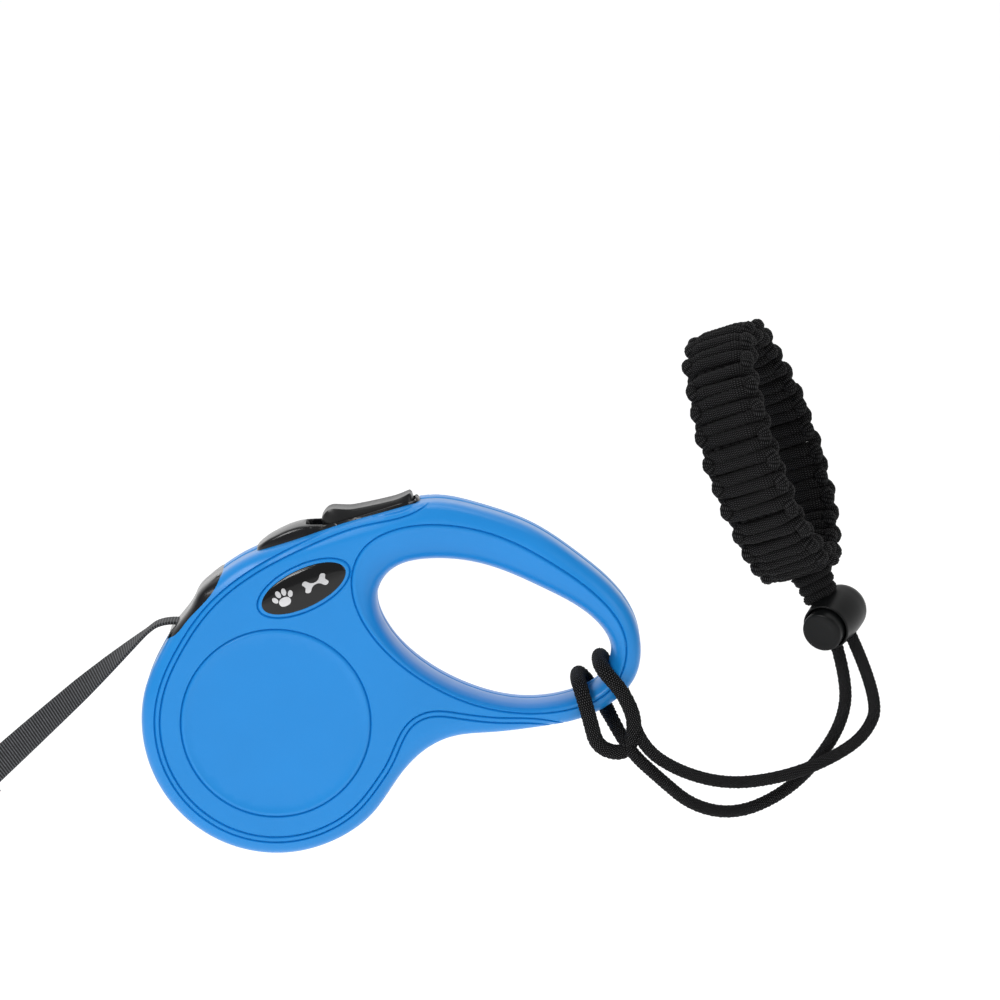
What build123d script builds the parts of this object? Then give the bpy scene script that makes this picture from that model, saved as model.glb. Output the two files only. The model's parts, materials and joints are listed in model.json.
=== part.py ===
from build123d import *
import math
import os

# Retractable dog leash: a round reel housing that runs into a closed hand grip, a flat belt that
# leaves the nozzle and ends in a swivelling bolt snap, and a woven wrist strap tied to the grip.
#
# The drawing frame has its origin on the reel axis: +X towards the grip, +Y from the left side of
# the housing to the right side, +Z up. Each solid is moved on export so that the written origin
# lies in the middle of the grip opening.

# ---- driving dimensions, millimetres and degrees ----
GRIP_X, GRIP_Z = 80.0, 55.0        # written origin, seen from the reel axis
BODY_R = 43.6                      # round part of the housing
BODY_HALF, GRIP_HALF = 14.5, 12.0  # half thickness at the reel and at the grip
WALL = 2.2
EDGE_ROUND, HOLE_ROUND = 4.5, 3.4  # outer edge and grip opening edge
SCREW_R, SCREW_HEAD_R = 1.1, 2.4
SCREW_SPOTS = [(-13.0, 45.5), (-28.0, -28.0), (30.0, -25.5), (58.0, 60.5), (112.4, 23.5)]
AXLE_R = 3.0
PIN_R = 1.5
RUN_GAP = 0.05                     # radial clearance of a running fit

TAPE_W, TAPE_T = 10.0, 1.0
PACK_R = 27.0                      # outside of the wound belt
DRUM_R, DRUM_WALL = 19.5, 2.0
FLANGE_T = 2.0
TOOTH_TIP_R, TOOTH_ROOT_R, TEETH = 36.0, 33.0, 24
TAPE_LEAD = 66.0                   # straight run of belt from the nozzle to its end sleeve
TAPE_SLOPE = 42.4                  # downward slope of that run
TAPE_TWIST = 72.0                  # turn of the belt between the nozzle and the sleeve
BELT_START = (-45.9, 24.9)         # on the straight run, just clear of the nozzle lip

LID_SLOPE = 17.45                  # slope of the housing edge under the brake button
LID_X, LID_Z = 30.0, 66.3
BUTTON_HALF_W = 6.2
PRESS, LOCK_SLIDE = 2.5, 3.5       # travels of the brake button
LEVER_PIVOT = (6.0, -10.0)         # in the button's own sloping frame
LEVER_PUSH_X = -13.0               # where the button's stem meets the lever

BADGE_X, BADGE_Z, BADGE_TILT = 9.2, 44.1, 26.0
BADGE_A, BADGE_B = 15.15, 6.4

CORD_D = 4.0
LOCK_AT = (181.2, -1.0, 33.4)
LOCK_AXIS = (-0.42, -0.85, -0.31)
LOCK_PRESS = 3.0
BRACELET_AT = (156.8, 0.0, 86.3)
BRACELET_DEPTH_DIR = (0.2567, 0.9648, 0.0575)
BRACELET_AXIS = (0.9081, -0.2611, 0.3273)
BRACELET_HALF_DEPTH, BRACELET_HALF_HEIGHT = 30.5, 42.5
BRACELET_W, BRACELET_T = 25.0, 8.5

# Outer edge of the housing: the round part, then nozzle, button and grip in clockwise order.
ROUND_PART = [
    (BODY_R * math.cos(math.radians(a)), BODY_R * math.sin(math.radians(a)))
    for a in range(-25, -216, -19)
]
OUTLINE = ROUND_PART + [
    (-31.8, 31.5), (-27.6, 37.0), (-23.3, 42.6), (-17.7, 47.9), (-7.8, 54.0), (4.7, 58.4),
    (21.2, 64.1), (37.6, 68.7), (50.5, 71.4), (64.5, 69.0), (83.5, 62.1), (97.3, 52.8),
    (110.1, 41.6), (115.9, 32.4), (117.8, 22.6), (115.8, 13.2), (109.5, 6.2), (99.2, 0.5),
    (85.2, -2.4), (68.7, -4.3), (57.0, -5.3), (48.1, -9.5),
]
GRIP_HOLE = [
    (32.5, 41.0), (35.8, 29.8), (48.1, 17.1), (64.6, 8.8), (79.0, 5.8), (96.2, 8.3),
    (105.5, 14.0), (108.3, 23.0), (103.5, 31.5), (87.0, 42.0), (68.0, 50.0), (49.0, 52.3),
    (36.5, 48.4),
]
NOZZLE_SEAM = [
    (-38.0, 25.6), (-35.0, 27.0), (-28.9, 32.6), (-22.5, 39.6), (-17.5, 48.3), (-18.5, 53.0),
    (-34.0, 48.0), (-44.0, 30.0),
]

# Route of the wrist cord, one piece from lock to lock. It comes down to the grip, passes in front
# of the bight, goes under and behind the bar, through the grip opening and down the front as one
# leg of the bight; the second half goes back the same way.
CORD_ROUTE = [
    (180.6, -2.8, 24.9), (184.6, -3.5, 11.5), (183.0, -4.5, -1.5), (174.5, -6.5, -14.5),
    (163.0, -9.0, -24.6), (148.5, -11.0, -30.4), (134.5, -12.5, -27.6), (123.5, -13.6, -18.0),
    (114.2, -14.0, -9.4), (108.0, -3.0, 0.2), (106.0, 14.6, 1.6), (98.0, 14.9, 12.3),
    (97.2, 0.0, 12.6), (98.0, -15.1, 12.1), (101.2, -15.6, 1.2), (103.6, -12.0, -8.6),
    (113.4, -10.6, -11.0), (116.2, -13.0, 0.0), (111.8, -15.3, 10.4), (104.9, -15.1, 17.9),
    (104.2, 0.0, 18.8), (104.9, 14.9, 17.9), (111.6, 14.7, 6.8), (113.4, -3.0, 4.4),
    (118.3, -15.4, -8.0), (130.5, -17.0, -15.6), (146.0, -17.2, -19.4), (163.0, -15.0, -17.6),
    (178.0, -11.0, -12.8), (190.5, -8.0, -5.2), (195.0, -5.5, 6.5), (185.4, -3.2, 27.3),
]


# ---- helpers ----
def slab(face, low, high):
    """A face drawn in X and Z, extruded from y = low to y = high."""
    return extrude(Plane(origin=(0, high, 0), x_dir=(1, 0, 0), z_dir=(0, -1, 0)) * face, high - low)


def closed_curve(points):
    return make_face(Spline(*points, periodic=True))


def moved_curve(points, amount):
    """The closed curve through some points, moved to the right of its direction of travel."""
    curve = Spline(*points, periodic=True)
    steps = 2 * len(points)
    moved = []
    for step in range(steps):
        spot, along = curve @ (step / steps), curve % (step / steps)
        moved.append(spot + Vector(along.Y, -along.X) * amount)
    return closed_curve(moved)


def polygon(points):
    return make_face(Polyline(*points, close=True))


def rod(x, z, low, high, radius):
    """A cylinder along Y."""
    return Location((x, (low + high) / 2, z), (90, 0, 0)) * Cylinder(radius, high - low)


def coil(radius, wire, turns, height):
    """A helical spring standing on z = 0 with its axis on Z."""
    rise = height - wire
    path = Pos(0, 0, wire / 2) * Helix(rise / turns, rise, radius)
    start = Plane(path @ 0, z_dir=path % 0)
    return sweep(start * Circle(wire / 2), path=path)


def unit(vector):
    return Vector(*vector).normalized()


# ---- housing ----
def side_profile(inset):
    """Seen from above: thick at the reel, easing to the thinner grip."""
    body, grip = BODY_HALF - inset, GRIP_HALF - inset
    upper = Bezier((30, body), (48, body), (62, grip), (80, grip))
    lower = Bezier((80, -grip), (62, -grip), (48, -body), (30, -body))
    outline = Curve() + [
        Line((-60, body), (30, body)), upper, Line((80, grip), (140, grip)),
        Line((140, grip), (140, -grip)), Line((140, -grip), (80, -grip)), lower,
        Line((30, -body), (-60, -body)), Line((-60, -body), (-60, body)),
    ]
    return make_face(outline)


def envelope(face, inset):
    return slab(face, -20, 20) & extrude(Pos(0, 0, -60) * side_profile(inset), 160)


def rim_edges(solid, wire):
    """The edges of a solid that run along a curve of the XZ plane, on both side faces."""
    found = []
    for edge in solid.edges():
        spot = edge @ 0.5
        if abs(spot.Y) > GRIP_HALF / 2 and wire.distance_to(Vertex(spot.X, 0, spot.Z)) < 0.05:
            found.append(edge)
    return found


def in_xz(face):
    return Plane.XZ * face


def housing_body():
    """The closed outer form with rounded edges and the grip opening, still solid."""
    outline, opening = closed_curve(OUTLINE), closed_curve(GRIP_HOLE)
    body = envelope(outline, 0)
    body = fillet(rim_edges(body, in_xz(outline).wire()), EDGE_ROUND)
    body = body - slab(opening, -20, 20)
    return fillet(rim_edges(body, in_xz(opening).wire()), HOLE_ROUND)


def cavity():
    hollow = envelope(moved_curve(OUTLINE, WALL), WALL)
    return hollow - slab(moved_curve(GRIP_HOLE, WALL), -20, 20)


def nozzle_zone():
    return slab(polygon(NOZZLE_SEAM), -20, 20)


def tape_slot():
    inner = [(-20, 28.6), (-30, 29.9), (-36.5, 28.4), (-46, 20)]
    outer = [(-46, 36), (-36, 33.6), (-31, 32.9), (-20, 32.4)]
    return slab(polygon(inner + outer), -5.7, 5.7)


def badge_face(margin):
    shape = Ellipse(BADGE_A + margin, BADGE_B + margin)
    return Pos(BADGE_X, BADGE_Z) * Rot(0, 0, BADGE_TILT) * shape


def posts():
    """Screw posts, axle bosses and lever pin bosses, run from wall to wall."""
    half = BODY_HALF - WALL / 2
    solid = Part()
    for x, z in SCREW_SPOTS:
        solid += rod(x, z, -half, half, 3.0)
    pivot = lid_point(*LEVER_PIVOT)
    for low, high in ((-half, -9.0), (9.0, half)):
        solid += rod(0, 0, low, high, 5.5)
        solid += rod(pivot.X, pivot.Z, low, high, 3.2)
    return solid


def post_holes():
    pivot = lid_point(*LEVER_PIVOT)
    holes = rod(0, 0, -12.0, 12.0, AXLE_R + 0.02)
    holes += rod(pivot.X, pivot.Z, -10.7, 10.7, PIN_R + 0.02)
    for x, z in SCREW_SPOTS:
        holes += rod(x, z, 8.0, 20.0, SCREW_HEAD_R + 0.2)
        holes += rod(x, z, 0.0, 8.0, SCREW_R + 0.25)
        holes += rod(x, z, -8.0, 0.0, SCREW_R)
    return holes


def housing_shells():
    body = housing_body()
    shell = body - cavity()
    shell = shell + (posts() & body)
    shell = shell - nozzle_zone() - tape_slot() - post_holes() - lid(lid_recess())
    for low in (-BODY_HALF - 1, BODY_HALF - 0.75):
        shell = shell - slab(badge_face(0.1), low, low + 1.75)
    halves = split(shell, Plane.XZ, keep=Keep.BOTH)
    left, right = sorted(halves.solids(), key=lambda half: half.center().Y)
    nozzle = (body & nozzle_zone()) - tape_slot()
    return left, right, nozzle


def housing_screws():
    screws = []
    for x, z in SCREW_SPOTS:
        head = rod(x, z, 8.0, 9.8, SCREW_HEAD_R) - rod(x, z, 8.9, 9.8, 1.2)
        screws.append(head + rod(x, z, -7.5, 8.0, SCREW_R))
    return Compound(children=screws)


def badge(side):
    face = badge_face(0)
    low, high = BODY_HALF - 0.7, BODY_HALF + 0.6
    return slab(face, -high, -low) if side < 0 else slab(face, low, high)


# ---- brake: bezel, button, slider, lever ----
def lid(shape):
    """Places a shape drawn in the button's sloping frame: x along the edge, z out of it."""
    return Location((LID_X, 0, LID_Z), (0, -LID_SLOPE, 0)) * shape


def lid_point(x, z):
    return lid(Vertex(x, 0, z)).center()


def lid_recess():
    seat = Pos(-9.75, 0, 9.2) * Box(53.9, 17.6, 20)
    window = Pos(-2.2, 0, -3) * Box(36.4, 14.0, 10)
    return seat + window


def button_bezel():
    side = [
        (-36.5, -0.7), (-34.4, 2.1), (-29.5, 3.3), (-25.3, 3.9), (-20.4, 4.1), (-16.6, 3.0),
        (-12.5, 1.2), (8.0, 1.2), (16.4, 0.8), (17.0, -0.7),
    ]
    frame = slab(polygon(side), -8.6, 8.6)
    window = Pos(-2.2, 0, 0) * Box(36.0, 2 * BUTTON_HALF_W + 0.8, 12)
    return lid(frame - window)


def brake_button():
    """Thumb pad with a raised front, a hollowed top, a stem to the lever and a spring pocket."""
    top = Spline((-15.2, 3.0), (-10.9, 5.6), (-6.0, 3.25), (1.0, 2.7), (8.6, 2.0), (15.0, 2.6))
    edge = Polyline((15.0, 2.6), (15.3, -0.3), (-15.4, -0.3), (-15.2, 3.0))
    pad = slab(make_face(top + edge), -BUTTON_HALF_W, BUTTON_HALF_W)
    pad = pad - Pos(3, 0, -0.3) * Cylinder(3.6, 2.8)
    front, low = LEVER_PUSH_X, lever_top() + 0.05
    stem = slab(polygon([(front, 0), (front, low), (front + 4, low + 0.6), (front + 4, 0)]), -2.5, 2.5)
    return lid(pad + stem)


def lock_slider():
    plate = Pos(-2, 0, -3.8) * Box(32, 19, 1.4)
    plate = plate - Pos(LEVER_PUSH_X + 2, 0, -3.8) * Box(4.6, 5.6, 4)
    detent = Pos(12, 0, -4.9) * Box(3, 6, 1.0)
    return lid(plate + detent)


def brake_spring():
    return lid(Pos(3, 0, -3.05) * coil(2.7, 0.45, 4, 4.0))


def lever_top():
    return LEVER_PIVOT[1] + 3.0


def lever_tooth(pressed):
    """Tip of the brake tooth, at rest or pressed home."""
    tip = Vector(8.6, 0, 38.6)
    if not pressed:
        return tip
    pivot = lid_point(*LEVER_PIVOT)
    turn = -math.degrees(math.atan(PRESS / (LEVER_PIVOT[0] - LEVER_PUSH_X)))
    arm = (tip - pivot).rotate(Axis.Y, turn)
    return pivot + arm


def brake_lever():
    x, z = LEVER_PIVOT
    top = lever_top()
    pad = slab(polygon([(-17, top), (x, top), (x, top - 3), (-17, top - 3)]), -3.5, 7.6)
    pivot = lid_point(x, z)
    pad = lid(pad) + rod(pivot.X, pivot.Z, -3.5, 7.6, 3.0)
    corner = lid_point(-17, top - 0.5)
    inner = lid_point(-9, top - 2.9)
    tip = lever_tooth(False)
    claw = polygon([
        (corner.X, corner.Z), (inner.X, inner.Z), (tip.X + 2.6, tip.Z + 4.5),
        (tip.X + 1.0, tip.Z), (tip.X - 1.0, tip.Z + 0.2), (tip.X - 2.4, tip.Z + 5.5),
    ])
    body = pad + slab(claw, 5.2, 7.6)
    return body - rod(pivot.X, pivot.Z, -9, 9, PIN_R + RUN_GAP)


# ---- reel ----
def ratchet_face():
    """Toothed flange, with one gap where the pressed brake tooth comes down."""
    tip = lever_tooth(True)
    gap = math.degrees(math.atan2(tip.Z, tip.X))
    pitch = 360 / TEETH
    points = []
    for tooth in range(TEETH):
        start = gap + tooth * pitch
        for radius, turn in (
            (TOOTH_ROOT_R, -0.28), (TOOTH_ROOT_R, 0.28), (TOOTH_TIP_R, 0.34), (TOOTH_TIP_R, 0.66),
        ):
            angle = math.radians(start + turn * pitch)
            points.append((radius * math.cos(angle), radius * math.sin(angle)))
    return polygon(points)


def reel_drum():
    inner = TAPE_W / 2 + 0.6
    hub = rod(0, 0, -inner, inner, DRUM_R) - rod(0, 0, -inner, inner, DRUM_R - DRUM_WALL)
    flange = slab(ratchet_face(), inner, inner + FLANGE_T)
    return hub + flange - rod(0, 0, 0, 12, AXLE_R + RUN_GAP)


def reel_cover():
    inner = TAPE_W / 2 + 0.6
    disc = rod(0, 0, -inner - FLANGE_T, -inner, 34.0)
    lip = rod(0, 0, -inner, -inner + 1.0, DRUM_R - DRUM_WALL - 0.05) - rod(0, 0, -8, 0, 16.4)
    return disc + lip - rod(0, 0, -12, 0, AXLE_R + RUN_GAP)


def wound_tape():
    half = TAPE_W / 2
    return rod(0, 0, -half, half, PACK_R) - rod(0, 0, -half, half, DRUM_R + 0.05)


def power_spring():
    """Flat spiral that winds the reel back."""
    turns, start, end, strip = 7, 4.0, 16.0, 0.5
    steps = turns * 12
    inner, outer = [], []
    for step in range(steps + 1):
        angle = 2 * math.pi * turns * step / steps
        radius = start + (end - start) * step / steps
        inner.append(((radius - strip / 2) * math.cos(angle), (radius - strip / 2) * math.sin(angle)))
        outer.append(((radius + strip / 2) * math.cos(angle), (radius + strip / 2) * math.sin(angle)))
    return slab(polygon(inner + outer[::-1]), -4.2, 4.2)


# ---- belt and snap hook ----
def belt_dir():
    slope = math.radians(TAPE_SLOPE)
    return Vector(-math.cos(slope), 0, -math.sin(slope))


def belt_point(along):
    return Vector(BELT_START[0], 0, BELT_START[1]) + belt_dir() * along


def belt_plane(along, turn):
    """Section plane of the belt, turned about its length; x runs across the belt."""
    slope, twist = math.radians(TAPE_SLOPE), math.radians(turn)
    normal = Vector(-math.sin(slope), 0, math.cos(slope))
    across = Vector(0, 1, 0) * math.cos(twist) + normal * math.sin(twist)
    return Plane(belt_point(along), x_dir=across, z_dir=belt_dir())


def free_tape():
    """From the top of the wound belt, over the nozzle lip and down to the end sleeve."""
    top = PACK_R + 0.1 + TAPE_T / 2
    lip, end = belt_point(-5), belt_point(1)
    points = [(2.5, top), (-27.5, 30.9), (-36.2, 31.4), (lip.X, lip.Z), (end.X, end.Z)]
    route = FilletPolyline(*points, radius=bend_radii([(x, 0, z) for x, z in points]))
    ribbon = slab(trace(route, TAPE_T), -TAPE_W / 2, TAPE_W / 2)
    stations = [1, 12, 20, 28, 38, 50, TAPE_LEAD]
    turns = [0, 13, 25, 38, 51, 63, TAPE_TWIST]
    sections = [
        belt_plane(along, turn) * Rectangle(TAPE_W, TAPE_T) for along, turn in zip(stations, turns)
    ]
    return Compound(children=[ribbon.solid(), loft(sections).solid()])


def hook_frame(shape):
    """Places a shape drawn with z running away from the nozzle and x in the housing's plane."""
    plane = belt_plane(TAPE_LEAD, 90)
    return Plane(plane.origin, x_dir=plane.x_dir, z_dir=plane.z_dir).location * shape


def turned_to_belt(shape):
    return Rot(0, 0, 90 - TAPE_TWIST) * shape


def tape_end_sleeve():
    sleeve = Pos(0, 0, 7.4) * Box(13.4, 4.4, 14.8) + Pos(0, 0, 11.2) * Box(13.4, 6.4, 7.2)
    return hook_frame(turned_to_belt(sleeve - Pos(0, 0, 11.2) * Box(20, 3.4, 2.8)))


def swivel_eye():
    loop = Pos(0, 0, 15.6) * Box(17.4, 3.2, 11.6) - Pos(0, 0, 15.7) * Box(13.9, 4, 6.4)
    post = Pos(0, 0, 25.5) * Cylinder(2.0, 9) + Pos(0, 0, 30) * Cylinder(3.2, 2.0)
    return hook_frame(turned_to_belt(loop + post))


def hook_body():
    shank = Pos(0, 0, 37.3) * Cylinder(5.2, 30)
    bores = Pos(0, 0, 25) * Cylinder(2.0 + RUN_GAP, 8) + Pos(0, 0, 30.1) * Cylinder(3.5, 2.5)
    bores += Pos(0, 0, 43) * Cylinder(2.6 + RUN_GAP, 19)
    bores += Pos(3.5, 0, 42.5) * Box(7, 3.4, 10.4)
    route = FilletPolyline(
        (-3.9, 0, 46), (-12.5, 0, 54), (-13.5, 0, 68), (-7.5, 0, 76), (0, 0, 76), (0, 0, 67.3),
        radius=3.6,
    )
    claw = sweep(Plane(route @ 0, z_dir=route % 0) * Circle(2.4), path=route)
    return hook_frame(shank + claw - bores)


def hook_bolt():
    bolt = Pos(0, 0, 54.5) * Cylinder(2.6, 25)
    thumb = Pos(4.6, 0, 45.5) * Rot(0, 90, 0) * Cylinder(1.5, 7)
    knob = Pos(8.4, 0, 45.5) * Rot(0, 90, 0) * Cylinder(2.4, 1.6)
    return hook_frame(bolt + thumb + knob)


def hook_spring():
    return hook_frame(Pos(0, 0, 33.6) * coil(2.0, 0.5, 5, 8.3))


# ---- wrist strap ----
def bend_radii(points):
    """The largest arc that each corner of a route has room for."""
    radii = []
    for before, here, after in zip(points, points[1:], points[2:]):
        a, b = Vector(*here) - Vector(*before), Vector(*after) - Vector(*here)
        turn = math.radians(a.get_angle(b))
        radii.append(0.45 * min(a.length, b.length) / math.tan(turn / 2))
    return radii


def strap_cord():
    radii = bend_radii(CORD_ROUTE)
    path = FilletPolyline(*CORD_ROUTE, radius=radii)
    tube = sweep(Plane(path @ 0, z_dir=path % 0) * Circle(CORD_D / 2), path=path)
    ideal = math.pi * CORD_D**2 / 4 * path.length
    print("cord radii", [round(radius, 1) for radius in radii])
    print(f"cord length {path.length:.1f}, volume {tube.volume:.0f} against {ideal:.0f}")
    return tube


def cord_end(first, second):
    """A short socket for the end of the cord."""
    start, inward = Vector(*first), unit(Vector(*first) - Vector(*second))
    return Plane(start, z_dir=inward) * Pos(0, 0, -5) * Cylinder(CORD_D / 2, 10)


def lock_frame(shape):
    return Plane(LOCK_AT, z_dir=unit(LOCK_AXIS)).location * shape


def lock_outline():
    side = make_face(
        Polyline((0, -9.6), (5.4, -9.6)) + Spline((5.4, -9.6), (8.2, -5.2), (8.4, 0), (7.7, 10))
        + Polyline((7.7, 10), (0, 10), (0, -9.6))
    )
    return revolve(Plane.XZ * side, Axis.Z)


def cord_lock_body():
    body = lock_outline() - Pos(0, 0, 2.0) * Cylinder(6.7, 19 - 2.9)
    body = lock_frame(body)
    body = body - cord_end(CORD_ROUTE[0], CORD_ROUTE[1]) - cord_end(CORD_ROUTE[-1], CORD_ROUTE[-2])
    return body


def cord_lock_plunger():
    plunger = Pos(0, 0, 5.5) * Cylinder(6.6, 17)
    plunger = fillet(plunger.edges().sort_by(Axis.Z)[-1], 0.8)
    return lock_frame(plunger - Pos(0, 0, 1.0) * Box(20, 5.0, 5.4))


def cord_lock_spring():
    return lock_frame(Pos(0, 0, -5.9) * coil(3.6, 0.5, 2, 2.8))


def bracelet_plane():
    return Plane(BRACELET_AT, x_dir=BRACELET_DEPTH_DIR, z_dir=BRACELET_AXIS)


def bracelet_weave():
    outer = Ellipse(BRACELET_HALF_DEPTH, BRACELET_HALF_HEIGHT)
    inner = Ellipse(BRACELET_HALF_DEPTH - BRACELET_T, BRACELET_HALF_HEIGHT - BRACELET_T)
    band = extrude(outer - inner, BRACELET_W / 2, both=True)
    return bracelet_plane().location * fillet(band.edges().filter_by(GeomType.ELLIPSE), 2.5)


def bracelet_collar():
    low, high = Vector(176.2, -1.5, 38.4), Vector(172.4, -1.3, 48.2)
    stretch = high - low
    wrap = Plane(low, z_dir=stretch) * Pos(0, 0, stretch.length / 2) * Cylinder(5.0, stretch.length)
    return wrap - bracelet_weave() - lock_frame(lock_outline())


# ---- writing ----
def main():
    os.makedirs("parts", exist_ok=True)
    left, right, nozzle = housing_shells()
    pivot = lid_point(*LEVER_PIVOT)
    nodes = {
        "left_housing": left,
        "right_housing": right,
        "tape_nozzle": nozzle,
        "housing_screws": housing_screws(),
        "left_badge": badge(-1),
        "right_badge": badge(1),
        "button_bezel": button_bezel(),
        "brake_button": brake_button(),
        "lock_slider": lock_slider(),
        "brake_spring": brake_spring(),
        "brake_lever": brake_lever(),
        "lever_pin": rod(pivot.X, pivot.Z, -10.6, 10.6, PIN_R),
        "reel_axle": rod(0, 0, -11.9, 11.9, AXLE_R),
        "reel_drum": reel_drum(),
        "reel_cover": reel_cover(),
        "wound_tape": wound_tape(),
        "power_spring": power_spring(),
        "free_tape": free_tape(),
        "tape_end_sleeve": tape_end_sleeve(),
        "swivel_eye": swivel_eye(),
        "hook_body": hook_body(),
        "hook_bolt": hook_bolt(),
        "hook_spring": hook_spring(),
        "strap_cord": strap_cord(),
        "cord_lock_body": cord_lock_body(),
        "cord_lock_plunger": cord_lock_plunger(),
        "cord_lock_spring": cord_lock_spring(),
        "bracelet_weave": bracelet_weave(),
        "bracelet_collar": bracelet_collar(),
    }
    for name, solid in nodes.items():
        export_step(solid.moved(Location((-GRIP_X, 0, -GRIP_Z))), f"parts/{name}.step")


if __name__ == "__main__":
    main()
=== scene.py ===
import json
import math
import bpy
import numpy as np
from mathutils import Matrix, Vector, geometry, kdtree


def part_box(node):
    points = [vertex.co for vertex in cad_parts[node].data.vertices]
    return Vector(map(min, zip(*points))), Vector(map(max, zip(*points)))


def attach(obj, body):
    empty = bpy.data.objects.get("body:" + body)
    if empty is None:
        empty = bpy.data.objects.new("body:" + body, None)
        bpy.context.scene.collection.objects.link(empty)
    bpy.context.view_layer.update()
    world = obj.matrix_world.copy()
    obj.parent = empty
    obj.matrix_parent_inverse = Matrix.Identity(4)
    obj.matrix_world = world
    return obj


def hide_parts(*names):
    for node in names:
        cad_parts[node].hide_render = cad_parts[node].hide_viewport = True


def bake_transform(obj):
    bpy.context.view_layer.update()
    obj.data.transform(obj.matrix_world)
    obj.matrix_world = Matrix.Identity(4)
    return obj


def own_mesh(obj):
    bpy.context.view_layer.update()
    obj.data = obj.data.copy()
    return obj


# Retractable leash. Shapes are drawn in millimetres with the origin on the reel axis, +X towards
# the grip, +Y to the right side of the housing, +Z up; to_row() turns them into the row frame.

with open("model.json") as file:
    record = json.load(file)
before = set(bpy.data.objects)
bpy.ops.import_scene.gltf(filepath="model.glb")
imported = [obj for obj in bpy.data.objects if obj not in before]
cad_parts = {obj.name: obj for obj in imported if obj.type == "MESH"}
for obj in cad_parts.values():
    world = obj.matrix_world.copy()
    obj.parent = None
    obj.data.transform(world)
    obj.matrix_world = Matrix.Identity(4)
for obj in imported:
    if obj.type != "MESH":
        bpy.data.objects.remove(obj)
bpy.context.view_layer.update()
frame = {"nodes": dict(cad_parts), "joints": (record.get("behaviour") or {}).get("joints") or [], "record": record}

# ---- the frame's own measures ----
MM = 1000.0
joints = {joint["name"]: joint for joint in frame["joints"]}
REEL_AXIS = np.array(joints["reel_spin"]["pos_m"]) * MM      # drawing origin in the row frame
BODY_HALF = -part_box("left_housing")[0][1] * MM               # half thickness at the reel

# ---- driving dimensions, millimetres ----
BODY_R = 43.6                                   # round part of the housing
GRIP_HALF = 12.0                                # half thickness at the grip
SHELL_WALL = 1.8
RIM = 5.4                                       # width of the rounded outer edge
ROLL_DEPTH = 8.6                                # how far the grip opening's edge rolls in
GROOVE_W, GROOVE_DEPTH = 0.40, 0.68             # V groove, half width and depth
BEAD_AT, BEAD_W, BEAD_H = 1.05, 0.63, 0.18      # low bead that runs inside each groove
SIDE_LINE_GAP = 0.85                            # middle of the side groove to its two lines
EDGE_ANGLE, GROOVE_ANGLE = 38.0, 27.0           # degrees; sharper edges aren't shaded smooth
DISC_R = 30.6                                   # round groove on the side
PARTING = 0.09                                  # half of the gap between the housing halves
BADGE = dict(x=9.2, z=44.1, tilt=26.0, a=15.15, b=6.4)
LID = dict(x=30.0, z=66.3, slope=17.45)         # where the button sits, and its slope in degrees
SCREW_SPOTS = [(-13.0, 45.5), (-28.0, -28.0), (30.0, -25.5), (58.0, 60.5), (112.4, 23.5)]
SCREW_HOLE_R = 2.6
SPRING_X = 3.0                                  # of the button's spring, along the lid
TAPE_W, RIB_PITCH = 10.0, 0.92                  # belt width and the pitch of its ribs
CORD_R = 2.0
BRAID_STRANDS, BRAID_PITCH = 5, 2.6
LOCK_AT, LOCK_AXIS = (181.2, -1.0, 33.4), (-0.42, -0.85, -0.31)

ROUND_PART = [
    (BODY_R * math.cos(math.radians(a)), BODY_R * math.sin(math.radians(a)))
    for a in range(-25, -216, -19)
]
OUTLINE = ROUND_PART + [
    (-31.8, 31.5), (-27.6, 37.0), (-23.3, 42.6), (-17.7, 47.9), (-7.8, 54.0), (4.7, 58.4),
    (21.2, 64.1), (37.6, 68.7), (50.5, 71.4), (64.5, 69.0), (83.5, 62.1), (97.3, 52.8),
    (110.1, 41.6), (115.9, 32.4), (117.8, 22.6), (115.8, 13.2), (109.5, 6.2), (99.2, 0.5),
    (85.2, -2.4), (68.7, -4.3), (57.0, -5.3), (48.1, -9.5),
]
GRIP_HOLE = [
    (32.5, 41.0), (35.8, 29.8), (48.1, 17.1), (64.6, 8.8), (79.0, 5.8), (96.2, 8.3),
    (105.5, 14.0), (108.3, 23.0), (103.5, 31.5), (87.0, 42.0), (68.0, 50.0), (49.0, 52.3),
    (36.5, 48.4),
]
GRIP_GROOVE = [
    (24.5, 46.5), (27.0, 35.3), (36.0, 22.8), (48.3, 13.1), (64.6, 5.4), (81.0, 2.7),
    (97.4, 4.7), (107.1, 9.6), (112.6, 19.3), (112.3, 28.6), (105.0, 39.6), (90.0, 51.0),
    (72.0, 60.4), (55.9, 64.2), (40.0, 63.4), (28.2, 56.8),
]
SIDE_GROOVE_TOP = [
    (49.5, 72.0), (45.5, 69.6), (28.2, 64.9), (10.4, 58.3), (-6.7, 49.5), (-20.9, 38.0),
    (-31.0, 23.6),
]
SIDE_GROOVE_ROUND = [
    (38.2 * math.cos(math.radians(a)), 38.2 * math.sin(math.radians(a)))
    for a in range(160, 331, 17)
]
SIDE_GROOVE_LOW = [
    (36.7, -13.3), (40.0, -5.8), (43.6, -0.3), (49.1, 2.6), (58.5, 2.2), (72.8, 0.5),
    (85.1, 0.0), (92.6, -1.6),
]
NOZZLE_SEAM = [(-35.2, 26.8), (-32.6, 28.3), (-28.9, 32.6), (-22.5, 39.6), (-18.9, 44.6), (-17.4, 48.1)]
NOZZLE_LIP = [
    (-35.1, 26.2), (-34.1, 28.8), (-33.0, 30.1), (-31.6, 31.7), (-27.9, 36.4), (-26.4, 39.2),
    (-25.3, 41.4), (-22.2, 44.7), (-17.6, 48.0),
]

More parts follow.
